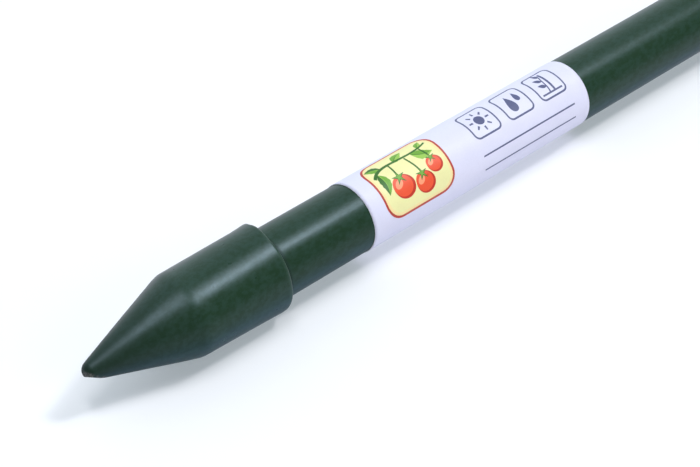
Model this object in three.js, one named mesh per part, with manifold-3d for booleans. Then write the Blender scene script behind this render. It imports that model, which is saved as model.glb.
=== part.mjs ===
// Plant stake: a plastic-coated steel tube with a moulded pointed foot pushed over
// its lower end, a moulded cap pushed over its upper end, and a paper label wrapped
// once round the shaft. The stake lies along X with its point towards -X, and its
// collar and cap touch the plane z = 0. Millimetres, +Z up, origin under the middle.
import * as THREE from 'three';
import { mergeVertices } from 'three/addons/utils/BufferGeometryUtils.js';
import Module from 'manifold-3d';

// ---- driving dimensions (mm) ----
const STAKE_LENGTH = 900;      // point to cap, over all
const FACETS = 48;             // sides of every round section, a flat side facing down

const COAT_OD = 16.0;          // shaft diameter over the plastic coat
const COAT_THICKNESS = 0.5;
const STEEL_WALL = 0.6;        // tube wall
const BOND_GAP = 0.02;         // drawn between bonded or glued layers

const FOOT_LENGTH = 47.5;
const FOOT_KNEE = 25.6;        // point to the start of the collar
const FOOT_KNEE_R = 9.67;
const COLLAR_BACK_R = 9.89;    // the collar widens a little towards its mouth (mould draft)
const NOSE_R = 2.09;
const NOSE_FLAT_R = 0.9;       // small flat where the moulding gate was cut
const EDGE_R = 0.4;            // rounding of the collar's back edge and of the knee

const SOCKET_R = 8.3;          // socket wall of foot and cap
const SOCKET_DEPTH = 20.5;
const RIB_COUNT = 6;           // grip ribs inside each socket
const RIB_WIDTH = 1.0;
const RIB_INNER_R = 8.06;      // 0.06 clear of the coat
const RIB_OUTER_R = 8.8;
const MOUTH_CHAMFER = 0.4;
const SEAT_GAP = 0.1;          // shaft end to the socket's floor

const LEDGE_R = 6.9;           // opening of the stop ledge inside the foot
const CORE_END = 6.0;          // point to the end of the cored cone
const CORE_END_R = 0.9;

const CAP_LENGTH = 24.5;
const CAP_FLAT_R = 5.0;        // flat face for driving the stake in
const CAP_DOME = 4.2;          // axial height of the rounded shoulder
const CAP_SHOULDER_R = 9.7;

const LABEL_LENGTH = 70;
const LABEL_OFFSET = 25.7;     // collar's back edge to the label
const LABEL_THICKNESS = 0.12;
const LABEL_SEAM = 0.5;        // open seam between the label's two ends
const LABEL_SEAM_ANGLE = 226.5; // degrees from -Y towards +Z, low at the back

// ---- derived ----
const AXIS_Z = COLLAR_BACK_R * Math.cos(Math.PI / FACETS);
const X_POINT = -STAKE_LENGTH / 2;
const X_TOP = STAKE_LENGTH / 2;
const COLLAR_BACK_X = X_POINT + FOOT_LENGTH;
const TUBE_X0 = X_POINT + FOOT_LENGTH - SOCKET_DEPTH + SEAT_GAP;
const TUBE_X1 = X_TOP - (CAP_LENGTH - SOCKET_DEPTH) - SEAT_GAP;
const COAT_R = COAT_OD / 2;
const STEEL_R = COAT_R - COAT_THICKNESS - BOND_GAP;

const wasm = await Module();
wasm.setup();

// ---- materials ----
const plastic = (color, roughness) => new THREE.MeshStandardMaterial({ color, roughness, metalness: 0 });
const footPlastic = plastic(0x2e4a38, 0.5);
const coatPlastic = plastic(0x2b4a37, 0.38);
const capPlastic = plastic(0x2e4a38, 0.5);
const labelPaper = plastic(0xe2e4f6, 0.6);
const steel = new THREE.MeshStandardMaterial({ color: 0x9a9c9e, roughness: 0.35, metalness: 1 });

// A body of revolution about X. The profile is a list of [x, r]; it starts and ends on
// the axis, or closes on itself. The half-step start turns a flat side to the floor.
function revolve(profile) {
  const points = profile.map(([x, r]) => new THREE.Vector2(r, x));
  const geometry = new THREE.LatheGeometry(points, FACETS, Math.PI / FACETS, 2 * Math.PI);
  geometry.rotateZ(-Math.PI / 2);
  return geometry;
}

function tube(x0, x1, rOuter, rInner) {
  return revolve([[x0, rInner], [x0, rOuter], [x1, rOuter], [x1, rInner], [x0, rInner]]);
}

// Points of a circular arc, angles in degrees, in the (x, r) plane.
function arc(cx, cr, radius, from, to, steps) {
  const out = [];
  for (let i = 0; i <= steps; i++) {
    const a = THREE.MathUtils.degToRad(from + ((to - from) * i) / steps);
    out.push([cx + radius * Math.cos(a), cr + radius * Math.sin(a)]);
  }
  return out;
}

function toSolid(geometry) {
  const bare = geometry.index ? geometry.toNonIndexed() : geometry.clone();
  bare.deleteAttribute('normal');
  bare.deleteAttribute('uv');
  const merged = mergeVertices(bare, 1e-4);
  const index = merged.index.array;
  const kept = [];
  for (let i = 0; i < index.length; i += 3) {
    const [a, b, c] = [index[i], index[i + 1], index[i + 2]];
    if (a !== b && b !== c && a !== c) kept.push(a, b, c);
  }
  return new wasm.Manifold(new wasm.Mesh({
    numProp: 3,
    vertProperties: Float32Array.from(merged.attributes.position.array),
    triVerts: Uint32Array.from(kept),
  }));
}

function toGeometry(solid) {
  const mesh = solid.getMesh();
  const geometry = new THREE.BufferGeometry();
  const positions = new Float32Array(mesh.numVert * 3);
  for (let i = 0; i < mesh.numVert; i++) {
    for (let k = 0; k < 3; k++) positions[i * 3 + k] = mesh.vertProperties[i * mesh.numProp + k];
  }
  geometry.setAttribute('position', new THREE.BufferAttribute(positions, 3));
  geometry.setIndex(new THREE.BufferAttribute(Uint32Array.from(mesh.triVerts), 1));
  geometry.computeVertexNormals();
  return geometry;
}

// Straight grip ribs along a socket wall, from x0 to x1.
function addRibs(body, x0, x1) {
  let solid = toSolid(body);
  for (let i = 0; i < RIB_COUNT; i++) {
    const rib = new THREE.BoxGeometry(x1 - x0, RIB_WIDTH, RIB_OUTER_R - RIB_INNER_R);
    rib.translate((x0 + x1) / 2, 0, (RIB_OUTER_R + RIB_INNER_R) / 2);
    rib.rotateX((2 * Math.PI * i) / RIB_COUNT);
    solid = solid.add(toSolid(rib));
  }
  return toGeometry(solid);
}

const stake = new THREE.Group();
const shaftLine = new THREE.Group();
shaftLine.position.set(0, 0, AXIS_Z);
stake.add(shaftLine);

function piece(name, geometry, material) {
  const mesh = new THREE.Mesh(geometry, material);
  mesh.name = name;
  shaftLine.add(mesh);
  return mesh;
}

// ---- shaft: steel tube and its plastic coat ----
piece('steel_tube', tube(TUBE_X0, TUBE_X1, STEEL_R, STEEL_R - STEEL_WALL), steel);
piece('plastic_sheath', tube(TUBE_X0, TUBE_X1, COAT_R, COAT_R - COAT_THICKNESS), coatPlastic);

// ---- foot: blunt nose, cone, drafted collar, socket with a stop ledge, cored cone ----
{
  // half-angle of the cone from the nose arc to the knee
  const flatX = NOSE_R - Math.sqrt(NOSE_R ** 2 - NOSE_FLAT_R ** 2);
  const reach = FOOT_KNEE - (NOSE_R - flatX);
  const cone = Math.acos(NOSE_R / Math.hypot(FOOT_KNEE_R, reach)) - Math.atan2(reach, FOOT_KNEE_R);
  const coneDeg = THREE.MathUtils.radToDeg(cone);
  const flatDeg = THREE.MathUtils.radToDeg(Math.asin(NOSE_FLAT_R / NOSE_R));
  const nose = arc(NOSE_R, 0, NOSE_R, 180 - flatDeg, 90 + coneDeg, 4).map(([x, r]) => [x - flatX, r]);
  const draft = Math.atan2(COLLAR_BACK_R - FOOT_KNEE_R, FOOT_LENGTH - FOOT_KNEE);
  const knee = [
    [FOOT_KNEE - 1.1 * EDGE_R, FOOT_KNEE_R - 1.1 * EDGE_R * Math.tan(cone)],
    [FOOT_KNEE - 0.2 * EDGE_R, FOOT_KNEE_R - 0.13 * EDGE_R],
    [FOOT_KNEE + 1.1 * EDGE_R, FOOT_KNEE_R + 1.1 * EDGE_R * Math.tan(draft)],
  ];
  const backEdge = arc(FOOT_LENGTH - EDGE_R, COLLAR_BACK_R - EDGE_R, EDGE_R, 90, 0, 3);
  const ledgeX = FOOT_LENGTH - SOCKET_DEPTH;
  const profile = [
    [0, 0],
    ...nose,
    ...knee,
    ...backEdge,
    [FOOT_LENGTH, SOCKET_R + MOUTH_CHAMFER],
    [FOOT_LENGTH - MOUTH_CHAMFER, SOCKET_R],
    [ledgeX, SOCKET_R],
    [ledgeX, LEDGE_R],
    [ledgeX - 2.0, LEDGE_R],
    [CORE_END, CORE_END_R],
    [CORE_END - 0.5, 0],
  ].map(([x, r]) => [X_POINT + x, r]);
  const ribs = [X_POINT + ledgeX - 0.2, COLLAR_BACK_X - 2.5];
  piece('foot_spike', addRibs(revolve(profile), ribs[0], ribs[1]), footPlastic);
}

// ---- cap: flat driving face, rounded shoulder, drafted skirt, socket ----
{
  const shoulder = [];
  for (let i = 0; i <= 6; i++) {
    const a = (Math.PI / 2) * (i / 6);
    shoulder.push([CAP_DOME * (1 - Math.cos(a)), CAP_FLAT_R + (CAP_SHOULDER_R - CAP_FLAT_R) * Math.sin(a)]);
  }
  const mouth = arc(CAP_LENGTH - EDGE_R, COLLAR_BACK_R - EDGE_R, EDGE_R, 90, 0, 3);
  const floorX = CAP_LENGTH - SOCKET_DEPTH;
  const profile = [
    [0, 0],
    ...shoulder,
    ...mouth,
    [CAP_LENGTH, SOCKET_R + MOUTH_CHAMFER],
    [CAP_LENGTH - MOUTH_CHAMFER, SOCKET_R],
    [floorX, SOCKET_R],
    [floorX, 0],
  ].map(([x, r]) => [X_TOP - x, r]).reverse();
  const ribs = [X_TOP - CAP_LENGTH + 2.5, X_TOP - floorX + 0.2];
  piece('top_cap', addRibs(revolve(profile), ribs[0], ribs[1]), capPlastic);
}

// ---- label: one turn of paper with an open seam low at the back ----
{
  const rIn = COAT_R + BOND_GAP;
  const rOut = rIn + LABEL_THICKNESS;
  const half = LABEL_SEAM / 2 / rOut;
  const steps = FACETS;
  const shape = new THREE.Shape();
  const ring = [];
  for (let i = 0; i <= steps; i++) ring.push(half + ((2 * Math.PI - 2 * half) * i) / steps);
  const rSafe = rIn / Math.cos(Math.PI / FACETS);
  const put = (a, r) => [r * Math.cos(a), r * Math.sin(a)];
  shape.moveTo(...put(ring[0], rSafe + LABEL_THICKNESS));
  for (const a of ring.slice(1)) shape.lineTo(...put(a, rSafe + LABEL_THICKNESS));
  for (const a of ring.slice().reverse()) shape.lineTo(...put(a, rSafe));
  shape.closePath();
  const geometry = new THREE.ExtrudeGeometry(shape, { depth: LABEL_LENGTH, bevelEnabled: false, steps: 1 });
  // the section's plane is XY with depth along Z: turn depth to X, the section's +X to
  // -Y and its +Y to +Z, then swing the seam to its place
  geometry.rotateZ(THREE.MathUtils.degToRad(LABEL_SEAM_ANGLE));
  const turn = new THREE.Matrix4().makeBasis(
    new THREE.Vector3(0, -1, 0),
    new THREE.Vector3(0, 0, 1),
    new THREE.Vector3(-1, 0, 0),
  );
  geometry.applyMatrix4(turn);
  geometry.translate(COLLAR_BACK_X + LABEL_OFFSET + LABEL_LENGTH, 0, 0);
  piece('wrap_label', geometry, labelPaper);
}

export default stake;
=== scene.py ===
import math

import bpy
import numpy as np
from mathutils import Matrix, Vector
from mathutils.geometry import delaunay_2d_cdt


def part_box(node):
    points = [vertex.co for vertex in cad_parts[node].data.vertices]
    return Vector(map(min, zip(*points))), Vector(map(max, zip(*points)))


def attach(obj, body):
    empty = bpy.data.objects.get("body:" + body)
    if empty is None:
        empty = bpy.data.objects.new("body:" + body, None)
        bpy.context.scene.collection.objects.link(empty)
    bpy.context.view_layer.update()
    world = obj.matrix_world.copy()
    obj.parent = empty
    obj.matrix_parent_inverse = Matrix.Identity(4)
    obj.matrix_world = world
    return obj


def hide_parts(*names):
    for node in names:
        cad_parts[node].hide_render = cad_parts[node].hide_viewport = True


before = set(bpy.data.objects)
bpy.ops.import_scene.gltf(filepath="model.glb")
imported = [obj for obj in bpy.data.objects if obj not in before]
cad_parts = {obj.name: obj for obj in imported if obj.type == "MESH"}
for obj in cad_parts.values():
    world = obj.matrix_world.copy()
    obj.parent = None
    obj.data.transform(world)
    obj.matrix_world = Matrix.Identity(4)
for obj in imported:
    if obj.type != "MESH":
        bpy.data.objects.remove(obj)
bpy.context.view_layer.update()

MM = 0.001
scene = bpy.context.scene

# ---------------------------------------------------------------- frame places
sheath_lo, sheath_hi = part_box("plastic_sheath")
steel_lo, steel_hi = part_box("steel_tube")
foot_lo, foot_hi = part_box("foot_spike")
cap_lo, cap_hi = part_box("top_cap")
label_lo, label_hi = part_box("wrap_label")
AXIS_Z = (sheath_lo[2] + sheath_hi[2]) / 2
X_POINT, X_COLLAR = foot_lo[0], foot_hi[0]
X_TOP, X_CAP = cap_hi[0], cap_lo[0]

COAT_R = 8.0 * MM
STEEL_R = 7.48 * MM
STEEL_WALL = 0.6 * MM
FACING = 46.5           # degrees from -Y towards +Z: the side of the shaft that faces the camera


def smooth01(x):
    x = np.clip(x, 0.0, 1.0)
    return x * x * (3 - 2 * x)


# ---------------------------------------------------------------- mesh helpers
def make_object(name, verts, faces, smooth=True):
    mesh = bpy.data.meshes.new(name)
    mesh.from_pydata([tuple(v) for v in verts], [], faces)
    mesh.validate(verbose=False)
    mesh.update()
    obj = bpy.data.objects.new(name, mesh)
    scene.collection.objects.link(obj)
    if smooth:
        mesh.polygons.foreach_set("use_smooth", [True] * len(mesh.polygons))
    return obj


def face_out(obj):
    """Turns all faces over if the closed mesh encloses a negative volume."""
    mesh = obj.data
    mesh.calc_loop_triangles()
    v = np.empty(len(mesh.vertices) * 3)
    mesh.vertices.foreach_get("co", v)
    v = v.reshape(-1, 3)
    t = np.empty(len(mesh.loop_triangles) * 3, dtype=np.int32)
    mesh.loop_triangles.foreach_get("vertices", t)
    t = t.reshape(-1, 3)
    vol = np.einsum("ij,ij->i", v[t[:, 0]], np.cross(v[t[:, 1]], v[t[:, 2]])).sum()
    if vol < 0:
        mesh.flip_normals()
    mesh.update()


def loft(name, rings, theta, shape=None, loop=False, after=None):
    """A closed surface about the stake's axis. rings is a list of (x, r); a ring of r = 0 is a
    pole. theta is the list of angles in degrees from -Y towards +Z. shape(i, x, r, theta) gives
    the ring's radii, and after(verts) may move the finished points."""
    th = np.radians(theta)
    cos, sin = np.cos(th), np.sin(th)
    n = len(theta)
    verts, starts = [], []
    for i, (x, r) in enumerate(rings):
        starts.append(len(verts))
        if r <= 1e-9:
            verts.append((x, 0.0, AXIS_Z))
            continue
        rr = np.full(n, r) if shape is None else shape(i, x, r, theta)
        verts.extend(zip(np.full(n, x), -rr * cos, AXIS_Z + rr * sin))
    faces = []
    count = len(rings)
    pairs = [(i, i + 1) for i in range(count - 1)]
    if loop:
        pairs.append((count - 1, 0))
    for i, j in pairs:
        a, b = starts[i], starts[j]
        pole_a, pole_b = rings[i][1] <= 1e-9, rings[j][1] <= 1e-9
        for k in range(n):
            m = (k + 1) % n
            if pole_a and pole_b:
                continue
            if pole_a:
                faces.append((a, b + m, b + k))
            elif pole_b:
                faces.append((a + k, a + m, b))
            else:
                faces.append((a + k, a + m, b + m, b + k))
    verts = np.array(verts, dtype=float)
    if after is not None:
        verts = after(verts)
    obj = make_object(name, verts, faces)
    face_out(obj)
    return obj


def arc(cx, cr, radius, a0, a1, steps):
    out = []
    for i in range(steps + 1):
        a = math.radians(a0 + (a1 - a0) * i / steps)
        out.append((cx + radius * math.cos(a), cr + radius * math.sin(a)))
    return out


def line(p, q, steps):
    """Points from p to q, both ends left out."""
    return [(p[0] + (q[0] - p[0]) * i / steps, p[1] + (q[1] - p[1]) * i / steps) for i in range(1, steps)]


def fillet(p, q, s, radius, steps):
    """The corner q between p and s, rounded."""
    p, q, s = (np.array(v, dtype=float) for v in (p, q, s))
    u, v = (p - q) / np.linalg.norm(p - q), (s - q) / np.linalg.norm(s - q)
    ang = math.acos(max(-1.0, min(1.0, float(u @ v))))
    d = radius / math.tan(ang / 2)
    mid = (u + v) / np.linalg.norm(u + v)
    c = q + mid * radius / math.sin(ang / 2)
    a, b = q + u * d, q + v * d
    a0, a1 = math.atan2(*(a - c)[::-1]), math.atan2(*(b - c)[::-1])
    da = (a1 - a0 + math.pi) % (2 * math.pi) - math.pi
    return [(c[0] + radius * math.cos(a0 + da * i / steps), c[1] + radius * math.sin(a0 + da * i / steps)) for i in range(steps + 1)]


def rounded(points, radii, arc_steps, spans):
    """A profile from corner points: each inner corner rounded by its radius (0 keeps it), each
    straight divided into spans[i] steps."""
    out = [points[0]]
    n = len(points)
    for i in range(1, n):
        if i < n - 1 and radii[i] > 0:
            corner = fillet(points[i - 1], points[i], points[i + 1], radii[i], arc_steps)
        else:
            corner = [points[i]]
        start, end = out[-1], corner[0]
        out.extend(line(start, end, spans[i - 1]))
        out.extend(corner)
    return out


def around(base, extra=()):
    """Angles in degrees round the shaft: base even steps plus clusters [(centre, offsets)]."""
    angles = [360.0 * i / base for i in range(base)]
    for centre, offsets in extra:
        near = [(centre + o) % 360.0 for o in offsets]
        angles = [a for a in angles if all(abs((a - b + 180) % 360 - 180) > 0.22 for b in near)]
        angles.extend(near)
    return np.array(sorted(angles))


def turn(theta, centre):
    return (np.asarray(theta) - centre + 180.0) % 360.0 - 180.0


# ---------------------------------------------------------------- node helpers
def new_material(name):
    mat = bpy.data.materials.new(name)
    mat.use_nodes = True
    nt = mat.node_tree
    nt.nodes.clear()
    out = nt.nodes.new("ShaderNodeOutputMaterial")
    bsdf = nt.nodes.new("ShaderNodeBsdfPrincipled")
    nt.links.new(bsdf.outputs["BSDF"], out.inputs["Surface"])
    return mat, nt, bsdf


def coords(nt, scale=(1, 1, 1), offset=(0, 0, 0)):
    tc = nt.nodes.new("ShaderNodeTexCoord")
    mp = nt.nodes.new("ShaderNodeMapping")
    mp.inputs["Scale"].default_value = scale
    mp.inputs["Location"].default_value = offset
    nt.links.new(tc.outputs["Object"], mp.inputs["Vector"])
    return mp.outputs["Vector"]


def noise(nt, vector, scale, detail=3.0, rough=0.5, distortion=0.0):
    n = nt.nodes.new("ShaderNodeTexNoise")
    n.inputs["Scale"].default_value = scale
    n.inputs["Detail"].default_value = detail
    n.inputs["Roughness"].default_value = rough
    n.inputs["Distortion"].default_value = distortion
    nt.links.new(vector, n.inputs["Vector"])
    return n.outputs["Fac"]


def remap(nt, value, a0, a1, b0, b1, smooth=False):
    m = nt.nodes.new("ShaderNodeMapRange")
    m.interpolation_type = "SMOOTHSTEP" if smooth else "LINEAR"
    m.clamp = True
    nt.links.new(value, m.inputs["Value"])
    for key, v in (("From Min", a0), ("From Max", a1), ("To Min", b0), ("To Max", b1)):
        m.inputs[key].default_value = v
    return m.outputs["Result"]


def math_node(nt, op, a, b=None, c=None):
    m = nt.nodes.new("ShaderNodeMath")
    m.operation = op
    for i, v in enumerate((a, b, c)):
        if v is None:
            continue
        if isinstance(v, (int, float)):
            m.inputs[i].default_value = v
        else:
            nt.links.new(v, m.inputs[i])
    return m.outputs["Value"]


def mix_colour(nt, fac, a, b, mode="MIX"):
    m = nt.nodes.new("ShaderNodeMix")
    m.data_type = "RGBA"
    m.blend_type = mode
    if isinstance(fac, (int, float)):
        m.inputs["Factor"].default_value = fac
    else:
        nt.links.new(fac, m.inputs["Factor"])
    for key, v in (("A", a), ("B", b)):
        sock = [s for s in m.inputs if s.name == key and s.type == "RGBA"][0]
        if isinstance(v, (tuple, list)):
            sock.default_value = (*v[:3], 1.0)
        else:
            nt.links.new(v, sock)
    return [s for s in m.outputs if s.type == "RGBA"][0]


def bump(nt, height, distance, strength=1.0, chain=None):
    b = nt.nodes.new("ShaderNodeBump")
    b.inputs["Strength"].default_value = strength
    b.inputs["Distance"].default_value = distance
    nt.links.new(height, b.inputs["Height"])
    if chain is not None:
        nt.links.new(chain, b.inputs["Normal"])
    return b.outputs["Normal"]


def axis_value(nt, which):
    tc = nt.nodes.new("ShaderNodeTexCoord")
    s = nt.nodes.new("ShaderNodeSeparateXYZ")
    nt.links.new(tc.outputs["Object"], s.inputs["Vector"])
    return s.outputs[which]


def distance_to(nt, point):
    tc = nt.nodes.new("ShaderNodeTexCoord")
    d = nt.nodes.new("ShaderNodeVectorMath")
    d.operation = "DISTANCE"
    d.inputs[1].default_value = point
    nt.links.new(tc.outputs["Object"], d.inputs[0])
    return d.outputs["Value"]


# ---------------------------------------------------------------- materials
GREEN = (0.0148, 0.0392, 0.0203)
GREEN_LIGHT = (0.0173, 0.0445, 0.0233)
GREEN_DARK = (0.0121, 0.0341, 0.0172)
LEAFY = (0.0104, 0.0318, 0.0112)      # the pigment isn't mixed quite evenly: yellower and bluer specks
BLUISH = (0.0192, 0.0466, 0.0294)


def coat_material(mouths):
    """Extruded coat: even dark green, faint draw lines along the shaft, satin gloss. A narrow
    ring beside each socket mouth is darkened, painted shade where the fitting shades the coat, and made rougher."""
    mat, nt, b = new_material("coat_plastic")
    cloud = noise(nt, coords(nt, (0.5, 1, 1)), 70, 3.0, 0.55)
    draw = noise(nt, coords(nt, (0.012, 1, 1)), 1500, 2.0, 0.5)
    speck = noise(nt, coords(nt), 1900, 2.0, 0.6)
    base = mix_colour(nt, remap(nt, cloud, 0.3, 0.7, 0, 1), GREEN_DARK, GREEN_LIGHT)
    base = mix_colour(nt, remap(nt, draw, 0.35, 0.65, 0, 0.4), base, GREEN)
    fleck = noise(nt, coords(nt, (0.6, 1, 1), (0.3, 0.1, 0.7)), 950, 3.0, 0.65)
    base = mix_colour(nt, 0.7, base, mix_colour(nt, remap(nt, fleck, 0.40, 0.60, 0, 1), LEAFY, BLUISH))
    base = mix_colour(nt, remap(nt, speck, 0.66, 0.8, 0, 0.25), base, (0.034, 0.066, 0.045))
    rough = math_node(nt, "ADD", remap(nt, draw, 0.3, 0.7, 0.300, 0.360), remap(nt, cloud, 0.3, 0.7, -0.02, 0.02))
    # painted shade: the coat is darkened in a narrow ring beside each socket mouth, where the fitting shades it; the
    # ring is also rougher
    for x, way in mouths:
        d = math_node(nt, "ABSOLUTE", math_node(nt, "SUBTRACT", axis_value(nt, "X"), x + way * 0.55 * MM))
        d = math_node(nt, "ADD", d, remap(nt, speck, 0.3, 0.7, -0.00015, 0.00015))
        d = math_node(nt, "ADD", d, remap(nt, cloud, 0.3, 0.7, -0.0002, 0.0002))
        ring = remap(nt, d, 1.25 * MM, 0.70 * MM, 0.0, 1.0, smooth=True)
        ring = math_node(nt, "MULTIPLY", ring, remap(nt, cloud, 0.3, 0.7, 0.65, 1.0))
        # the painted shade colour of the ring by the mouth
        base = mix_colour(nt, math_node(nt, "MULTIPLY", ring, 0.55), base, (0.0060, 0.0120, 0.0080))
        rough = math_node(nt, "ADD", rough, math_node(nt, "MULTIPLY", ring, 0.2))
    nt.links.new(base, b.inputs["Base Color"])
    nt.links.new(rough, b.inputs["Roughness"])
    n1 = bump(nt, draw, 0.000004)
    n2 = bump(nt, noise(nt, coords(nt, (0.6, 1, 1)), 420, 2.0, 0.5), 0.000006, chain=n1)
    nt.links.new(n2, b.inputs["Normal"])
    b.inputs["IOR"].default_value = 1.5
    b.inputs["Specular IOR Level"].default_value = 0.215
    b.inputs["Specular Tint"].default_value = (0.69, 0.844, 1.0, 1)
    return mat


def moulded_material(name, wear_points=(), edges=(), dull_and_shade=None, spare=None):
    """Moulded end fitting: a slightly duller green with flow mottling and a fine spark-eroded
    grain; pale edges at the given x places, partly rubbed wear and partly a painted highlight, and a scuffed spot at
    each wear point. dull_and_shade is (x where the skin is dullest, x where it has its full gloss, added roughness);
    towards that end the colour is also darkened, a painted shade. spare is a direction whose side of the edges gets no
    pale band."""
    mat, nt, b = new_material(name)
    flow = noise(nt, coords(nt, (0.45, 1, 1)), 160, 4.0, 0.6, 0.8)
    patch = noise(nt, coords(nt), 520, 3.0, 0.6)
    grain = noise(nt, coords(nt), 4200, 2.0, 0.6)
    base = mix_colour(nt, remap(nt, flow, 0.3, 0.7, 0, 1), GREEN_DARK, GREEN_LIGHT)
    base = mix_colour(nt, remap(nt, patch, 0.4, 0.75, 0, 0.35), base, GREEN)
    fleck = noise(nt, coords(nt, (0.8, 1, 1), (0.3, 0.1, 0.7)), 950, 3.0, 0.65)
    base = mix_colour(nt, 0.7, base, mix_colour(nt, remap(nt, fleck, 0.40, 0.60, 0, 1), LEAFY, BLUISH))
    rough = math_node(nt, "ADD", remap(nt, flow, 0.3, 0.7, 0.275, 0.325), remap(nt, patch, 0.3, 0.7, -0.02, 0.03))
    if dull_and_shade is not None:
        rough = math_node(nt, "ADD", rough, remap(nt, axis_value(nt, "X"), dull_and_shade[0], dull_and_shade[1], dull_and_shade[2], 0.0, smooth=True))
        rough = math_node(nt, "ADD", rough, remap(nt, axis_value(nt, "X"), dull_and_shade[0] - 16 * MM, dull_and_shade[0] - 4 * MM, 1.4 * dull_and_shade[2], 0.0, smooth=True))
        # painted shade: the cone is darkened towards the point
        painted_point_shade = remap(nt, axis_value(nt, "X"), dull_and_shade[0] - 19 * MM, dull_and_shade[1], 0.62, 0.0, smooth=True)
        painted_point_shade = math_node(nt, "MULTIPLY", painted_point_shade, remap(nt, flow, 0.3, 0.7, 0.85, 1.0))
        base = mix_colour(nt, painted_point_shade, base, (0.0100, 0.0207, 0.0140))
    worn_edge_and_highlight = None
    # pale band at each given edge: partly rubbed wear, partly a painted highlight standing in for the edge's bright
    # reflection
    for x, width in edges:
        d = math_node(nt, "ABSOLUTE", math_node(nt, "SUBTRACT", axis_value(nt, "X"), x))
        m = remap(nt, d, width, 0.3 * width, 0.0, 1.0, smooth=True)
        m = math_node(nt, "MULTIPLY", m, remap(nt, patch, 0.35, 0.75, 0.25, 0.65))
        worn_edge_and_highlight = m if worn_edge_and_highlight is None else math_node(nt, "MAXIMUM", worn_edge_and_highlight, m)
    # the pale band is left off the side that spare points to
    if worn_edge_and_highlight is not None and spare is not None:
        y = math_node(nt, "MULTIPLY", axis_value(nt, "Y"), spare[0])
        z = math_node(nt, "MULTIPLY", math_node(nt, "SUBTRACT", axis_value(nt, "Z"), AXIS_Z), spare[1])
        worn_edge_and_highlight = math_node(nt, "MULTIPLY", worn_edge_and_highlight, remap(nt, math_node(nt, "ADD", y, z), 5.0 * MM, 8.0 * MM, 1.0, 0.0, smooth=True))
    if worn_edge_and_highlight is not None:
        # the pale edge colour: rubbed wear and painted highlight
        base = mix_colour(nt, worn_edge_and_highlight, base, (0.046, 0.080, 0.060))
        rough = math_node(nt, "ADD", rough, math_node(nt, "MULTIPLY", worn_edge_and_highlight, 0.12))
    for point, radius in wear_points:
        d = math_node(nt, "ADD", distance_to(nt, point), remap(nt, patch, 0.25, 0.75, -radius * 0.45, radius * 0.45))
        m = remap(nt, d, radius, radius * 0.45, 0.0, 1.0, smooth=True)
        scuff = mix_colour(nt, remap(nt, grain, 0.35, 0.65, 0, 1), (0.042, 0.040, 0.037), (0.165, 0.155, 0.142))
        base = mix_colour(nt, math_node(nt, "MULTIPLY", m, 0.85), base, scuff)
        rough = math_node(nt, "ADD", rough, math_node(nt, "MULTIPLY", m, 0.22))
    nt.links.new(base, b.inputs["Base Color"])
    nt.links.new(rough, b.inputs["Roughness"])
    n1 = bump(nt, grain, 0.000004)
    n2 = bump(nt, patch, 0.000009, chain=n1)
    nt.links.new(n2, b.inputs["Normal"])
    b.inputs["IOR"].default_value = 1.5
    b.inputs["Specular IOR Level"].default_value = 0.24
    b.inputs["Specular Tint"].default_value = (0.69, 0.844, 1.0, 1)
    return mat


def steel_material():
    """Bare cold-rolled tube: drawn along its length, slightly oxidised in patches."""
    mat, nt, b = new_material("tube_steel")
    drawn = noise(nt, coords(nt, (0.02, 1, 1)), 2400, 3.0, 0.6)
    patch = noise(nt, coords(nt), 260, 4.0, 0.6)
    base = mix_colour(nt, remap(nt, drawn, 0.3, 0.7, 0, 1), (0.36, 0.365, 0.37), (0.56, 0.565, 0.57))
    base = mix_colour(nt, remap(nt, patch, 0.55, 0.8, 0, 0.6), base, (0.25, 0.19, 0.14))
    nt.links.new(base, b.inputs["Base Color"])
    nt.links.new(remap(nt, patch, 0.3, 0.8, 0.28, 0.5), b.inputs["Roughness"])
    b.inputs["Metallic"].default_value = 1.0
    nt.links.new(bump(nt, drawn, 0.000006), b.inputs["Normal"])
    return mat


def label_material():
    """Coated label paper: the printed colours come from the mesh's ink colours, with paper
    fibre and a little print mottle over them."""
    mat, nt, b = new_material("label_paper")
    ink = nt.nodes.new("ShaderNodeVertexColor")
    ink.layer_name = "ink"
    fibre = noise(nt, coords(nt, (0.7, 1, 1)), 2600, 4.0, 0.65)
    cloud = noise(nt, coords(nt), 150, 3.0, 0.5)
    tone = math_node(nt, "ADD", remap(nt, fibre, 0.3, 0.7, 0.965, 1.0), remap(nt, cloud, 0.3, 0.7, -0.015, 0.015))
    grey = nt.nodes.new("ShaderNodeCombineColor")
    for s in ("Red", "Green", "Blue"):
        nt.links.new(tone, grey.inputs[s])
    base = mix_colour(nt, 1.0, ink.outputs["Color"], grey.outputs["Color"], "MULTIPLY")
    nt.links.new(base, b.inputs["Base Color"])
    nt.links.new(remap(nt, cloud, 0.3, 0.7, 0.42, 0.52), b.inputs["Roughness"])
    n1 = bump(nt, fibre, 0.000006)
    n2 = bump(nt, cloud, 0.00003, chain=n1)
    nt.links.new(n2, b.inputs["Normal"])
    b.inputs["IOR"].default_value = 1.45
    b.inputs["Specular IOR Level"].default_value = 0.28
    return mat


# ---------------------------------------------------------------- foot
FOOT_LENGTH = X_COLLAR - X_POINT
KNEE = 25.4 * MM
KNEE_R = 9.67 * MM
COLLAR_R = 9.89 * MM
NOSE_R = 2.09 * MM
NOSE_FLAT = 0.9 * MM
SOCKET_R = 8.3 * MM
SOCKET_DEPTH = 20.5 * MM
LEDGE_R = 6.9 * MM
RIM_ROUND = (0.62 * MM, 0.30 * MM)
PARTING = (FACING + 94.0, FACING - 94.0)
RIBS = [90.0 + 60.0 * i for i in range(6)]


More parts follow.
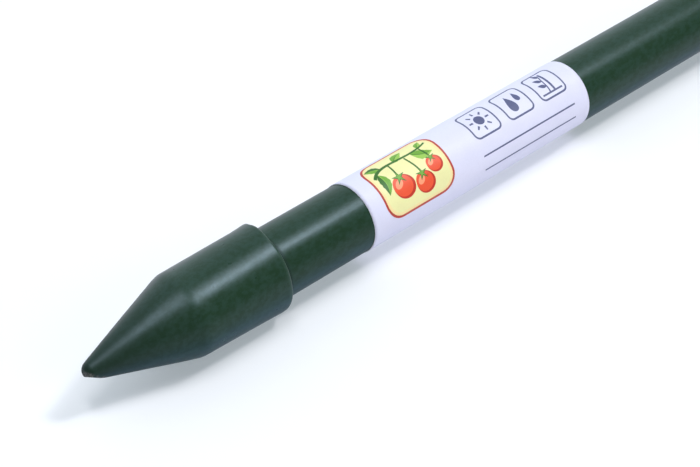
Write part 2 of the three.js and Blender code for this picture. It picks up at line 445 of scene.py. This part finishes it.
def socket_angles():
    near_part = [0.0, 0.35, 0.7, 1.1, 1.6, 2.2, -0.35, -0.7, -1.1, -1.6, -2.2]
    near_rib = [-4.3, -3.9, -3.45, -3.0, -2.6, 2.6, 3.0, 3.45, 3.9, 4.3]
    return around(300, [(p, near_part) for p in PARTING] + [(r, near_rib) for r in RIBS])


def rib_shape(theta, r, depth_in):
    """Grip ribs: the socket wall stands in by up to 0.24 mm over each rib. depth_in fades the
    ribs out at the mouth."""
    h = np.zeros(len(theta))
    for c in RIBS:
        d = np.abs(turn(theta, c))
        h = np.maximum(h, smooth01((4.1 - d) / 1.1))
    return r - h * 0.24 * MM * depth_in


def make_foot():
    flat_x = NOSE_R - math.sqrt(NOSE_R**2 - NOSE_FLAT**2)
    reach = KNEE - (NOSE_R - flat_x)
    cone = math.acos(NOSE_R / math.hypot(KNEE_R, reach)) - math.atan2(reach, KNEE_R)
    flat_deg = math.degrees(math.asin(NOSE_FLAT / NOSE_R))
    nose = [(x - flat_x, r) for x, r in arc(NOSE_R, 0, NOSE_R, 180 - flat_deg, 90 + math.degrees(cone), 10)]
    L = FOOT_LENGTH
    ledge = L - SOCKET_DEPTH
    rim = [(L - RIM_ROUND[0] * (1 - math.sin(a)), COLLAR_R - RIM_ROUND[1] * (1 - math.cos(a)))
           for a in (math.pi / 2 * i / 10 for i in range(11))]
    corners = [nose[-1], (KNEE, KNEE_R), *rim, (L, SOCKET_R + 0.4 * MM), (L - 0.4 * MM, SOCKET_R),
               (ledge, SOCKET_R), (ledge, LEDGE_R), (ledge - 2.0 * MM, LEDGE_R), (6.0 * MM, 0.9 * MM), (5.5 * MM, 0.0)]
    radii = [0, 9.0 * MM, *[0] * 11, 0.12 * MM, 0.15 * MM, 0.2 * MM, 0.3 * MM, 0.4 * MM, 0.3 * MM, 0]
    spans = [34, 26, *[1] * 10, 4, 3, 22, 4, 4, 16, 3]
    body = rounded(corners, radii, 12, spans)
    flat = [(0.0, 0.0), (0.0, 0.3 * MM), (0.0, 0.6 * MM)]
    prof = flat + nose[:-1] + body
    n_outer = next(i for i, p in enumerate(prof) if p[0] > L - 1e-9) + 1
    theta = socket_angles()
    rings = [(X_POINT + x, r) for x, r in prof]

    def shape(i, x, r, th):
        s = x - X_POINT
        if i < n_outer:
            out = np.full(len(th), r)
            size = min(1.0, r / (4 * MM))
            # slight unevenness left by cooling
            t = np.radians(th)
            out += size * MM * (0.022 * np.sin(2 * t + 0.6) + 0.010 * np.sin(3 * t + 2.1 + s * 140) + 0.006 * np.sin(5 * t + s * 260))
            # parting line of the mould
            for c in PARTING:
                d = np.radians(turn(th, c)) * r / MM
                out += size * 0.045 * MM * np.exp(-((d / 0.11) ** 2))
            return out
        if s > ledge - 1e-6 and r > LEDGE_R + 0.9 * MM:
            depth_in = smooth01(np.array([(L - s - 2.0 * MM) / (1.2 * MM)]))[0]
            return rib_shape(th, r, depth_in) if r < SOCKET_R + 1e-5 else np.full(len(th), r)
        return np.full(len(th), r)

    # the lower side of the nose has been rubbed flat
    spot = np.array([X_POINT + 1.69 * MM, -0.865 * MM, AXIS_Z - 1.59 * MM])
    lean = np.array([-0.5066, -0.4211, -0.7524])

    def after(v):
        outer = np.arange(len(v)) < 1 + (n_outer - 1) * len(theta)
        # the moulding is bent by a fraction of a millimetre, its nose low and its knee high
        t = (v[:, 0] - X_POINT) / FOOT_LENGTH
        bend = np.interp(t, [0.0, 0.27, 0.54, 0.80, 1.0], [-0.19, 0.03, 0.17, 0.11, 0.02]) * MM
        v[outer, 1] += bend[outer] * 0.725
        v[outer, 2] += bend[outer] * 0.688
        s = (v[:, 0] - X_POINT) / MM
        out_y, out_z = v[:, 1].copy(), v[:, 2] - AXIS_Z
        r = np.maximum(np.hypot(out_y, out_z), 1e-9)
        out_y, out_z = out_y / r, out_z / r
        th = np.degrees(np.arctan2(out_z, -out_y)) % 360.0
        # a little out of round between knee and mouth
        oval = np.interp(s, [20.0, 26.0, 36.0, 47.5], [0.0, 0.20, 0.03, -0.17]) * MM
        swell = -oval * np.sin(2 * np.radians(th - 57.0))
        # the mouth isn't square: its upper far side runs on and stands out a little
        back = smooth01((250.0 - th) / 90.0)
        far = (1.0 * smooth01((th - 70.0) / 45.0) + 0.9 * smooth01((th - 112.0) / 22.0)) * back
        swell += 0.10 * MM * far * smooth01((s - 44.0) / 3.5)
        # and so, by less, does its lower near side
        a = (th + 180.0) % 360.0 - 180.0
        low = 0.25 * smooth01((22.0 - a) / 45.0) * smooth01((a + 80.0) / 35.0)
        v[outer, 1] += (swell * out_y)[outer]
        v[outer, 2] += (swell * out_z)[outer]
        v[:, 2] = np.maximum(v[:, 2], 0.0)
        v[:, 0] += MM * (far + low) * smooth01((s - 42.5) / 5.0)
        # the knee comes a little nearer the point on the side that faces the camera
        near = np.maximum(np.cos(np.radians(th - FACING)), 0.0)
        pull = smooth01((s - 5.0) / 20.0) * smooth01((40.0 - s) / 15.0)
        v[outer, 0] -= (1.5 * MM * near * pull)[outer]
        skin = outer & (v[:, 0] < X_POINT + 8.0 * MM)
        d = (v - spot) @ lean / MM
        k = 0.14
        h = np.maximum(k - np.abs(d), 0.0) / k
        flat_d = np.minimum(d, 0.0) - h * h * k / 4
        pitted = 0.018 * np.sin(v[:, 0] * 9100 + 1.0) * np.sin(v[:, 1] * 7300) + 0.012 * np.sin(v[:, 1] * 15100 + v[:, 0] * 4700)
        flat_d = flat_d + pitted * smooth01((d + 0.1) / 0.3)
        v[skin] += np.outer((flat_d - d)[skin] * MM, lean)
        return v

    return loft("foot_point", rings, theta, shape, after=after)


# ---------------------------------------------------------------- cap
def make_cap():
    L = X_TOP - X_CAP
    floor = L - SOCKET_DEPTH
    dome, flat_r, shoulder_r = 4.2 * MM, 5.0 * MM, 9.7 * MM
    gate = [(0.35 * MM, 0.0), (0.33 * MM, 0.35 * MM), (0.25 * MM, 0.7 * MM), (0.10 * MM, 0.95 * MM), (0.02 * MM, 1.15 * MM), (0.0, 1.4 * MM)]
    face = gate + [(0.0, r * MM) for r in (2.0, 2.8, 3.6, 4.3, 4.7)]
    shoulder = []
    for i in range(1, 25):
        a = math.pi / 2 * i / 24
        shoulder.append((dome * (1 - math.cos(a)), flat_r + (shoulder_r - flat_r) * math.sin(a)))
    start = shoulder.pop()
    corners = [start, (L, COLLAR_R), (L, SOCKET_R + 0.4 * MM), (L - 0.4 * MM, SOCKET_R), (floor, SOCKET_R), (floor, 0.0)]
    radii = [0, 0.28 * MM, 0.12 * MM, 0.15 * MM, 0.4 * MM, 0]
    spans = [22, 4, 3, 22, 8]
    body = rounded(corners, radii, 8, spans)
    prof = face + shoulder + body
    n_outer = next(i for i, p in enumerate(prof) if p[0] > L - 1e-9) + 1
    theta = socket_angles()
    rings = [(X_TOP - x, r) for x, r in prof]

    def shape(i, x, r, th):
        s = X_TOP - x
        if i < n_outer:
            out = np.full(len(th), r)
            t = np.radians(th)
            size = smooth01(np.array([(r - 5 * MM) / (3 * MM)]))[0]
            out += size * MM * (0.02 * np.sin(2 * t + 1.9) + 0.008 * np.sin(3 * t + 0.4 + s * 150))
            for c in PARTING:
                d = np.radians(turn(th, c)) * r / MM
                out += size * 0.04 * MM * np.exp(-((d / 0.11) ** 2))
            return out
        if SOCKET_R - 0.005 * MM < r < SOCKET_R + 1e-5 and s > floor:
            depth_in = smooth01(np.array([(L - s - 2.0 * MM) / (1.2 * MM)]))[0]
            return rib_shape(th, r, depth_in)
        return np.full(len(th), r)

    return loft("end_cap", rings, theta, shape)


# ---------------------------------------------------------------- shaft
def make_sheath():
    x0, x1 = sheath_lo[0], sheath_hi[0]
    r_in, r_out = COAT_R - 0.5 * MM, COAT_R
    outer = rounded([(x0, (r_in + r_out) / 2), (x0, r_out), (x1, r_out), (x1, (r_in + r_out) / 2)],
                    [0, 0.12 * MM, 0.12 * MM, 0], 5, [2, 220, 2])
    inner = line((x1, (r_in + r_out) / 2), (x1, r_in), 2) + [(x1, r_in)] + line((x1, r_in), (x0, r_in), 12) + [(x0, r_in)] + line((x0, r_in), (x0, (r_in + r_out) / 2), 2)
    prof = outer + inner
    n_outer = len(outer)
    theta = around(200)

    def shape(i, x, r, th):
        out = np.full(len(th), r)
        if 0 < i < n_outer - 1 and r > r_out - 0.1 * MM:
            t = np.radians(th)
            out += MM * (0.010 * np.sin(2 * t + 0.8 + x * 3.1) + 0.006 * np.sin(3 * t + 2.0 + x * 5.3))
            out += MM * 0.006 * math.sin(x * 41.0) + MM * 0.004 * math.sin(x * 97.0 + 1.3)
        return out

    return loft("shaft_coat", prof, theta, shape, loop=True)


def make_steel():
    x0, x1 = steel_lo[0], steel_hi[0]
    r_out, r_in = STEEL_R, STEEL_R - STEEL_WALL
    prof = rounded([(x0, (r_in + r_out) / 2), (x0, r_out), (x1, r_out), (x1, r_in), (x0, r_in), (x0, (r_in + r_out) / 2)],
                   [0, 0.08 * MM, 0.08 * MM, 0.08 * MM, 0.08 * MM, 0], 4, [2, 24, 3, 24, 2])[:-1]
    seam = 20.0
    theta = around(144, [(seam, [-7, -5, -3.5, -2, -1, 0, 1, 2, 3.5, 5, 7])])

    def shape(i, x, r, th):
        out = np.full(len(th), r)
        if r < r_in + 0.05 * MM:
            d = np.radians(turn(th, seam)) * r / MM
            bead = 0.22 * np.exp(-((d / 0.42) ** 2)) * (1 + 0.15 * math.sin(x * 900))
            out -= MM * bead
        return out

    return loft("core_tube", prof, theta, shape, loop=True)


# ---------------------------------------------------------------- label
LABEL_LENGTH = 70.0          # mm along the shaft
LABEL_HALF = 25.4            # mm each way round from the middle
LABEL_X0 = label_lo[0]
LABEL_R_IN = 8.03 * MM
LABEL_THICK = 0.12 * MM
LABEL_SKEW = 0.012           # the label was put on a little crooked

PAPER = (0.705, 0.687, 0.830)
CREAM = (0.835, 0.784, 0.387)
CREAM_EDGE = (0.897, 0.724, 0.355)
RED_LINE = (0.47, 0.054, 0.038)
TOMATO = (0.806, 0.090, 0.034)
TOMATO_DARK = (0.526, 0.036, 0.019)
TOMATO_LIGHT = (0.95, 0.325, 0.172)
LEAF = (0.162, 0.374, 0.038)
LEAF_LIGHT = (0.302, 0.53, 0.080)
LEAF_DARK = (0.039, 0.145, 0.019)
INK = (0.095, 0.1025, 0.205)


def circle(cx, cy, r, n=40, sx=1.0, sy=1.0, rot=0.0):
    out = []
    for i in range(n):
        a = 2 * math.pi * i / n
        x, y = r * sx * math.cos(a), r * sy * math.sin(a)
        out.append((cx + x * math.cos(rot) - y * math.sin(rot), cy + x * math.sin(rot) + y * math.cos(rot)))
    return out


def round_rect(cx, cy, w, h, r, n=8):
    out = []
    for qx, qy, a0 in ((1, 1, 0), (-1, 1, 90), (-1, -1, 180), (1, -1, 270)):
        for i in range(n + 1):
            a = math.radians(a0 + 90 * i / n)
            out.append((cx + qx * (w / 2 - r) + r * math.cos(a), cy + qy * (h / 2 - r) + r * math.sin(a)))
    return out


def bezier(p0, p1, p2, p3, n):
    out = []
    for i in range(n + 1):
        t = i / n
        out.append(tuple((1 - t) ** 3 * a + 3 * (1 - t) ** 2 * t * b + 3 * (1 - t) * t * t * c + t**3 * d
                         for a, b, c, d in zip(p0, p1, p2, p3)))
    return out


def stroke(path, w0, w1):
    """A line of the given path drawn with a width from w0 to w1, as a polygon."""
    left, right = [], []
    n = len(path)
    for i, (x, y) in enumerate(path):
        a, b = path[max(0, i - 1)], path[min(n - 1, i + 1)]
        dx, dy = b[0] - a[0], b[1] - a[1]
        s = math.hypot(dx, dy) or 1.0
        w = (w0 + (w1 - w0) * i / (n - 1)) / 2
        left.append((x - dy / s * w, y + dx / s * w))
        right.append((x + dy / s * w, y - dx / s * w))
    return left + right[::-1]


def leaf(x, y, length, width, angle, bend=0.0, teeth=0):
    """A pointed leaf from its stalk at x, y; angle in degrees. Returns outline, shaded half and vein."""
    ca, sa = math.cos(math.radians(angle)), math.sin(math.radians(angle))

    def put(u, v):
        v = v + bend * math.sin(math.pi * u / length) * length * 0.18
        return (x + u * ca - v * sa, y + u * sa + v * ca)

    n = 22
    up, down, mid = [], [], []
    for i in range(n + 1):
        t = i / n
        w = width / 2 * math.sin(math.pi * t**0.8) * (1 - 0.15 * t)
        if teeth:
            w *= 1 + 0.16 * (2 * abs((t * teeth) % 1 - 0.5) - 0.5) * math.sin(math.pi * t)
        u = t * length
        up.append(put(u, w))
        down.append(put(u, -w))
        mid.append(put(u, 0))
    outline = up + down[-2:0:-1]
    half = mid + down[-2:0:-1]
    vein = stroke(mid[1:-3], width * 0.07, width * 0.025)
    return outline, half, vein


def star(cx, cy, r_out, r_in, points, rot):
    out = []
    for i in range(points * 2):
        a = rot + math.pi * i / points
        r = r_out if i % 2 == 0 else r_in
        out.append((cx + r * math.cos(a), cy + r * math.sin(a)))
    return out


def label_art():
    """A generic printed design, bottom layer first: a cream panel with ripening fruit on a vine,
    three garden signs in a row (sun, water, a plant tied to a stake) and two blank lines to write
    on. (colour, polygon) pairs, in mm: x along the shaft from the label's lower end, y up round
    the shaft."""
    art = []
    px, py = 15.0, 2.0
    art.append((RED_LINE, round_rect(px, py, 21.0, 16.4, 4.4)))
    art.append((CREAM_EDGE, round_rect(px, py, 19.9, 15.3, 3.9)))
    art.append((CREAM, round_rect(px, py, 18.6, 14.0, 3.3)))
    # vine across the top of the panel
    vine = bezier((px - 8.8, py + 2.4), (px - 5.5, py + 6.6), (px + 2.0, py + 2.6), (px + 8.6, py + 5.0), 26)
    for lx, ly, ln, wd, an, bd in ((px - 5.4, py + 4.2, 4.2, 2.4, 160, -0.5), (px - 1.6, py + 4.1, 4.4, 2.4, 28, 0.5),
                                   (px + 3.2, py + 3.8, 5.4, 2.9, -20, -0.6), (px + 6.0, py + 4.2, 2.9, 1.7, 48, 0.4),
                                   (px - 7.4, py + 3.2, 5.6, 2.8, 262, 0.5)):
        o, h, v = leaf(lx, ly, ln, wd, an, bd, teeth=5)
        art.append((LEAF, o))
        art.append((LEAF_LIGHT if an < 100 else LEAF_DARK, h))
        art.append((LEAF_DARK if an < 100 else LEAF_LIGHT, v))
    art.append((LEAF_DARK, stroke(vine, 0.80, 0.46)))
    # fruit
    for cx, cy, r, hang in ((px - 3.6, py - 2.0, 2.9, (px - 3.4, py + 4.2)), (px + 2.1, py - 3.5, 2.6, (px + 1.2, py + 3.8)),
                            (px + 6.5, py - 0.9, 2.1, (px + 6.0, py + 4.4))):
        top = (cx, cy + r * 0.9)
        art.append((LEAF_DARK, stroke(bezier(hang, (hang[0], hang[1] - 1.4), (top[0], top[1] + 1.2), top, 10), 0.42, 0.48)))
        art.append((TOMATO_DARK, circle(cx, cy, r, 44, 1.04, 0.96)))
        art.append((TOMATO, circle(cx - 0.10 * r, cy + 0.09 * r, r * 0.89, 40, 1.04, 0.96)))
        art.append((TOMATO_LIGHT, circle(cx - 0.36 * r, cy + 0.30 * r, r * 0.36, 26, 1.25, 0.8, math.radians(35))))
        art.append((LEAF_DARK, star(cx, cy + r * 0.78, r * 0.66, r * 0.22, 5, math.radians(90))))
        art.append((LEAF, star(cx, cy + r * 0.80, r * 0.46, r * 0.15, 5, math.radians(90))))
    # three signs in frames
    y = 4.6
    for i, x in enumerate((39.0, 50.0, 61.0)):
        art.append((INK, round_rect(x, y, 8.6, 8.6, 1.5)))
        art.append((PAPER, round_rect(x, y, 7.7, 7.7, 1.1)))
        if i == 0:
            art.append((INK, circle(x, y, 1.35, 30)))
            for k in range(8):
                a = math.pi * k / 4
                art.append((INK, stroke([(x + 1.95 * math.cos(a), y + 1.95 * math.sin(a)),
                                         (x + 3.05 * math.cos(a), y + 3.05 * math.sin(a))], 0.55, 0.40)))
        elif i == 1:
            for sx, sy, size in ((-0.9, -0.25, 1.0), (1.75, 0.9, 0.62)):
                drop = []
                for k in range(36):
                    a = 2 * math.pi * k / 36
                    drop.append((x + sx + size * 1.75 * math.sin(a) * math.sin(a / 2) ** 1.5, y + sy + size * 2.55 * math.cos(a)))
                art.append((INK, drop))
        else:
            art.append((INK, stroke([(x - 3.2, y - 2.9), (x, y - 2.9), (x + 3.2, y - 2.9)], 0.45, 0.45)))
            art.append((INK, stroke([(x + 0.9, y - 3.1), (x + 0.9, y), (x + 0.9, y + 3.2)], 0.62, 0.62)))
            art.append((INK, stroke(bezier((x - 0.7, y - 2.9), (x - 0.1, y - 1.0), (x - 0.6, y + 0.6), (x + 0.3, y + 2.2), 14), 0.42, 0.32)))
            for lx, ly, an in ((x - 0.45, y - 1.1, 155), (x - 0.35, y + 0.6, 145), (x + 0.3, y + 2.0, 120)):
                art.append((INK, leaf(lx, ly, 2.3, 1.15, an)[0]))
    # blank lines to write on
    for y in (-3.4, -6.8):
        art.append((INK, [(34.7, y - 0.19), (65.3, y - 0.19), (65.3, y + 0.19), (34.7, y + 0.19)]))
    return art


def inside(poly, pts):
    """Even-odd test of points in a polygon, in numpy."""
    p = np.asarray(poly)
    x, y = pts[:, 0], pts[:, 1]
    hit = np.zeros(len(pts), dtype=bool)
    x0, y0 = p[:, 0], p[:, 1]
    x1, y1 = np.roll(x0, -1), np.roll(y0, -1)
    for a, b, c, d in zip(x0, y0, x1, y1):
        if b == d:
            continue
        cross = ((b > y) != (d > y)) & (x < (c - a) * (y - b) / (d - b) + a)
        hit ^= cross
    return hit


def make_label():
    art = label_art()
    rim = round_rect(LABEL_LENGTH / 2, 0.0, LABEL_LENGTH, 2 * LABEL_HALF, 1.6, 8)
    # even points along the straight sides, so that the sheet follows the round shaft
    dense = []
    for i, p in enumerate(rim):
        q = rim[(i + 1) % len(rim)]
        d = math.hypot(q[0] - p[0], q[1] - p[1])
        steps = max(1, int(d / 0.45))
        dense.extend((p[0] + (q[0] - p[0]) * k / steps, p[1] + (q[1] - p[1]) * k / steps) for k in range(steps))
    pts, edges = [], []

    def add_poly(poly):
        base = len(pts)
        pts.extend(Vector(p) for p in poly)
        edges.extend((base + i, base + (i + 1) % len(poly)) for i in range(len(poly)))

    add_poly(dense)
    for _, poly in art:
        full = []
        for i, p in enumerate(poly):
            q = poly[(i + 1) % len(poly)]
            steps = max(1, int(math.hypot(q[0] - p[0], q[1] - p[1]) / 0.8))
            full.extend((p[0] + (q[0] - p[0]) * k / steps, p[1] + (q[1] - p[1]) * k / steps) for k in range(steps))
        add_poly(full)
    na, nc = 70, 112
    for i in range(1, na):
        for j in range(1, nc):
            x = LABEL_LENGTH * i / na
            y = -LABEL_HALF + 2 * LABEL_HALF * (j + (0.5 if i % 2 else 0.0) - 0.25) / nc
            if abs(y) < LABEL_HALF - 0.3:
                if (x < 2.2 or x > LABEL_LENGTH - 2.2) and abs(y) > LABEL_HALF - 2.2:
                    continue
                pts.append(Vector((x, y)))
    v2, _, tris, _, _, _ = delaunay_2d_cdt(pts, edges, [], 0, 1e-4)
    v2 = np.array([(v.x, v.y) for v in v2])
    tris = [t for t in tris if len(t) == 3]
    cen = np.array([v2[list(t)].mean(axis=0) for t in tris])
    keep = inside(dense, cen)
    tris = [t for t, k in zip(tris, keep) if k]
    cen = cen[keep]
    colour = np.tile(np.array(PAPER), (len(tris), 1))
    for col, poly in art:
        colour[inside(poly, cen)] = col

    used = sorted({i for t in tris for i in t})
    index = {v: k for k, v in enumerate(used)}
    flat = v2[used]
    n = len(flat)
    tris = [tuple(index[i] for i in t) for t in tris]
    # one end of the wrap lifts a little at the seam
    lift = 0.10 * MM * smooth01((flat[:, 1] - (LABEL_HALF - 2.2)) / 2.2) ** 2
    lift = lift + 0.004 * MM * np.sin(flat[:, 0] * 0.55) * np.sin(flat[:, 1] * 0.4 + 1.0)

    def wrap(r):
        th = math.radians(FACING) + flat[:, 1] * MM / (LABEL_R_IN + LABEL_THICK)
        rr = r + lift
        x = LABEL_X0 + flat[:, 0] * MM + LABEL_SKEW * flat[:, 1] * MM
        return np.stack([x, -rr * np.cos(th), AXIS_Z + rr * np.sin(th)], axis=1)

    verts = np.concatenate([wrap(LABEL_R_IN + LABEL_THICK), wrap(LABEL_R_IN)])
    faces = list(tris) + [(c + n, b + n, a + n) for a, b, c in tris]
    count = {}
    for a, b, c in tris:
        for e in ((a, b), (b, c), (c, a)):
            count[e] = count.get(e, 0) + 1
    border = [e for e in count if (e[1], e[0]) not in count]
    for a, b in border:
        faces.append((b, a, a + n, b + n))
    obj = make_object("paper_label", verts, faces)
    face_out(obj)
    mesh = obj.data
    layer = mesh.color_attributes.new("ink", "FLOAT_COLOR", "CORNER")
    data = np.empty((len(mesh.loops), 4), dtype=np.float32)
    back = (0.70, 0.70, 0.72)
    edge = (0.80, 0.81, 0.86)
    front = len(tris)
    for p in mesh.polygons:
        i = p.index
        col = colour[i] if i < front else (back if i < 2 * front else edge)
        for li in p.loop_indices:
            data[li] = (*col, 1.0)
    layer.data.foreach_set("color", data.ravel())
    return obj


# ---------------------------------------------------------------- put together
# the dark rings that the coat material puts at both socket mouths are painted shade
coat = make_sheath()
coat.data.materials.append(coat_material([(X_COLLAR, 1.0), (X_CAP, -1.0)]))
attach(coat, "shaft")
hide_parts("plastic_sheath")

core = make_steel()
core.data.materials.append(steel_material())
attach(core, "shaft")
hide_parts("steel_tube")

foot = make_foot()
# on the foot, the pale band at the mouth is partly a painted highlight, and the darkening towards the point is painted
# shade
foot.data.materials.append(moulded_material(
    "foot_plastic",
    wear_points=[((X_POINT + 0.35 * MM, -0.55 * MM, AXIS_Z - 0.45 * MM), 1.55 * MM),
                 ((X_POINT + 1.7 * MM, -1.75 * MM, AXIS_Z - 0.75 * MM), 0.75 * MM),
                 ((X_POINT + 2.9 * MM, -2.2 * MM, AXIS_Z - 1.4 * MM), 0.65 * MM)],
    edges=[(X_COLLAR, 1.15 * MM)], dull_and_shade=(X_POINT + 20 * MM, X_POINT + 29 * MM, 0.06), spare=(0.663, 0.749)))
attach(foot, "foot")
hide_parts("foot_spike")

cap = make_cap()
cap.data.materials.append(moulded_material(
    "cap_plastic",
    wear_points=[((X_TOP, 1.6 * MM, AXIS_Z + 1.0 * MM), 1.5 * MM)],
    edges=[(X_TOP, 1.3 * MM), (X_CAP, 0.5 * MM)]))
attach(cap, "cap")
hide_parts("top_cap")

label = make_label()
label.data.materials.append(label_material())
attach(label, "shaft")
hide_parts("wrap_label")

# ---------------------------------------------------------------- floor
floor_mesh = bpy.data.meshes.new("floor")
S = 14.0
floor_mesh.from_pydata([(-S, -S, -0.00003), (S, -S, -0.00003), (S, S, -0.00003), (-S, S, -0.00003)], [], [(0, 1, 2, 3)])
floor = bpy.data.objects.new("floor", floor_mesh)
scene.collection.objects.link(floor)
mat, nt, b = new_material("floor_paper")
tone = noise(nt, coords(nt), 3.0, 2.0, 0.5)
nt.links.new(mix_colour(nt, remap(nt, tone, 0.3, 0.7, 0, 1), (0.690, 0.660, 0.668), (0.704, 0.673, 0.682)), b.inputs["Base Color"])
b.inputs["Roughness"].default_value = 0.9
b.inputs["Specular IOR Level"].default_value = 0.05
b.inputs["Emission Color"].default_value = (0.80, 0.92, 1.0, 1)      # a lit table top
b.inputs["Emission Strength"].default_value = 0.29
floor_mesh.materials.append(mat)
floor.visible_glossy = False      # the gloss shows the cool ground of the surroundings instead


# ---------------------------------------------------------------- light
def area(name, place, target, size_x, size_y, power, colour=(1, 1, 1), along=(1, 0, 0), seen=True, lights=True):
    data = bpy.data.lights.new(name, "AREA")
    data.shape = "RECTANGLE"
    data.size, data.size_y = size_x, size_y
    data.energy = power
    data.color = colour
    obj = bpy.data.objects.new(name, data)
    aim = (Vector(target) - Vector(place)).normalized()
    side = Vector(along) - aim * Vector(along).dot(aim)
    side.normalize()
    up = (-aim).cross(side)
    obj.matrix_world = Matrix.Translation(place) @ Matrix((side, up, -aim)).transposed().to_4x4()
    obj.visible_camera = False
    obj.visible_glossy = seen
    obj.visible_diffuse = lights
    scene.collection.objects.link(obj)
    return obj


COOL = (0.92, 0.962, 1.0)
SLANT = (1.0, -0.37, 0.0)
# boxes in one line over the stake: the bright line along shaft and collar, and the one on the cone
area("line_box", (0.71, -0.56, 1.65), (-0.25, -0.05, 0.0), 0.46, 0.35, 18.0, COOL, along=SLANT)
area("line_bounce", (0.64, -0.17, 1.68), (-0.25, 0.0, 0.0), 0.46, 0.38, 4.6, COOL, along=SLANT)
area("top_box", (-0.62, -0.12, 1.65), (-0.43, -0.02, 0.0), 0.26, 0.90, 8.5, COOL, along=SLANT)
# these only add to the gloss
area("top_sheen", (-0.62, -0.12, 1.65), (-0.43, -0.02, 0.0), 0.26, 0.86, 12.3, COOL, along=SLANT, lights=False)
area("line_tip", (0.36, -0.84, 1.62), (-0.43, 0.0, 0.0), 0.36, 0.28, 7.1, COOL, along=SLANT, lights=False)
area("knee_bridge", (-0.14, -0.46, 1.68), (-0.43, 0.0, 0.0), 0.55, 0.35, 4.6, COOL, along=(1.0, -0.9, 0.0), lights=False)
# broad front fill, too soft to show as a reflection
area("front_fill", (0.2, -1.9, 0.9), (-0.3, 0.0, 0.0), 2.0, 1.2, 14.5, (0.96, 0.98, 1.0), seen=False)

world = bpy.data.worlds.new("studio")
scene.world = world
world.use_nodes = True
wt = world.node_tree
wt.nodes.clear()
w_out = wt.nodes.new("ShaderNodeOutputWorld")
w_bg = wt.nodes.new("ShaderNodeBackground")
w_tc = wt.nodes.new("ShaderNodeTexCoord")
w_dot = wt.nodes.new("ShaderNodeVectorMath")
w_dot.operation = "DOT_PRODUCT"
w_dot.inputs[1].default_value = (0.35, 0.91, 0.20)
wt.links.new(w_tc.outputs["Generated"], w_dot.inputs[0])
w_map = wt.nodes.new("ShaderNodeMapRange")
w_map.interpolation_type = "SMOOTHSTEP"
for key, v in (("From Min", 0.1), ("From Max", 0.97), ("To Min", 0.20), ("To Max", 1.30)):
    w_map.inputs[key].default_value = v
wt.links.new(w_dot.outputs["Value"], w_map.inputs["Value"])
w_bg.inputs["Color"].default_value = (0.81, 0.925, 1.02, 1)
wt.links.new(w_map.outputs["Result"], w_bg.inputs["Strength"])
# below the horizon: a pale ground that turns cool and dimmer straight down and behind
w_dir = wt.nodes.new("ShaderNodeSeparateXYZ")
wt.links.new(w_tc.outputs["Generated"], w_dir.inputs["Vector"])
cool_ground = mix_colour(wt, remap(wt, w_dir.outputs["Y"], -0.34, 0.22, 0, 1, smooth=True), (0.55, 0.75, 1.17), (0.26, 0.32, 0.42))
ground = mix_colour(wt, remap(wt, w_dir.outputs["Z"], -0.40, -0.85, 0, 1, smooth=True), (0.95, 0.97, 1.12), cool_ground)
w_low = wt.nodes.new("ShaderNodeBackground")
wt.links.new(ground, w_low.inputs["Color"])
w_mix = wt.nodes.new("ShaderNodeMixShader")
wt.links.new(remap(wt, w_dir.outputs["Z"], -0.04, -0.08, 0, 1), w_mix.inputs[0])
wt.links.new(w_bg.outputs["Background"], w_mix.inputs[1])
wt.links.new(w_low.outputs["Background"], w_mix.inputs[2])
wt.links.new(w_mix.outputs["Shader"], w_out.inputs["Surface"])

scene.view_settings.view_transform = "Standard"
scene.view_settings.look = "None"
scene.view_settings.exposure = 0.0
scene.view_settings.gamma = 1.0

# ---------------------------------------------------------------- camera
cam_data = bpy.data.cameras.new("camera")
cam_data.sensor_fit = "HORIZONTAL"
cam_data.sensor_width = 36.0
cam_data.lens = 2199.5 / 700.0 * 36.0
cam_data.clip_start, cam_data.clip_end = 0.01, 60.0
cam_data.dof.use_dof = False
camera = bpy.data.objects.new("camera", cam_data)
forward = Vector((0.5604045, 0.5709646, -0.5999552)).normalized()
right = Vector((0.7137057, -0.7004456, 0.0000571))
right = (right - forward * right.dot(forward)).normalized()
up = right.cross(forward)
camera.matrix_world = Matrix.Translation((-0.6440517, -0.2725937, 0.2921656)) @ Matrix((right, up, -forward)).transposed().to_4x4()
scene.collection.objects.link(camera)
scene.camera = camera

# ---------------------------------------------------------------- hand over
bpy.context.view_layer.update()
